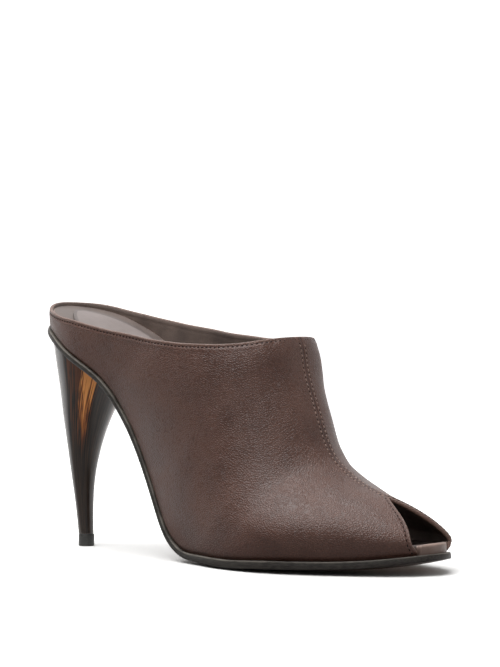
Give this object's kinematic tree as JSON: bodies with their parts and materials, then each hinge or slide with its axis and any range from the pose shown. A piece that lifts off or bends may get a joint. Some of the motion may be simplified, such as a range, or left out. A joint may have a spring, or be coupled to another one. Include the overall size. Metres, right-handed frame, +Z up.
{
  "type": "high-heeled mule",
  "caption": "Right peep-toe mule in brown leather with a high closed vamp, a low open back and a slender curved heel in mottled horn-look plastic.",
  "frame": {"origin": "middle of the heel tip's ground face, on the floor", "axes": "+X from the heel to the toe, +Y to the inner side of the foot, +Z up"},
  "size_m": [0.2157, 0.0793, 0.1118],
  "materials": {
    "upper": "smooth satin calf leather, chocolate brown",
    "outsole": "dark stained leather edge, satin",
    "insole": "matt kid leather, taupe",
    "sock_pad": "matt kid leather, light taupe",
    "heel": "polished horn look, near black with amber streaks",
    "heel_tip": "black satin"
  },
  "bodies": {
    "root": {"upper": "upper", "outsole": "outsole", "insole": "insole", "sock_pad": "sock_pad", "heel": "heel", "heel_tip": "heel_tip"}
  },
  "joints": []
}
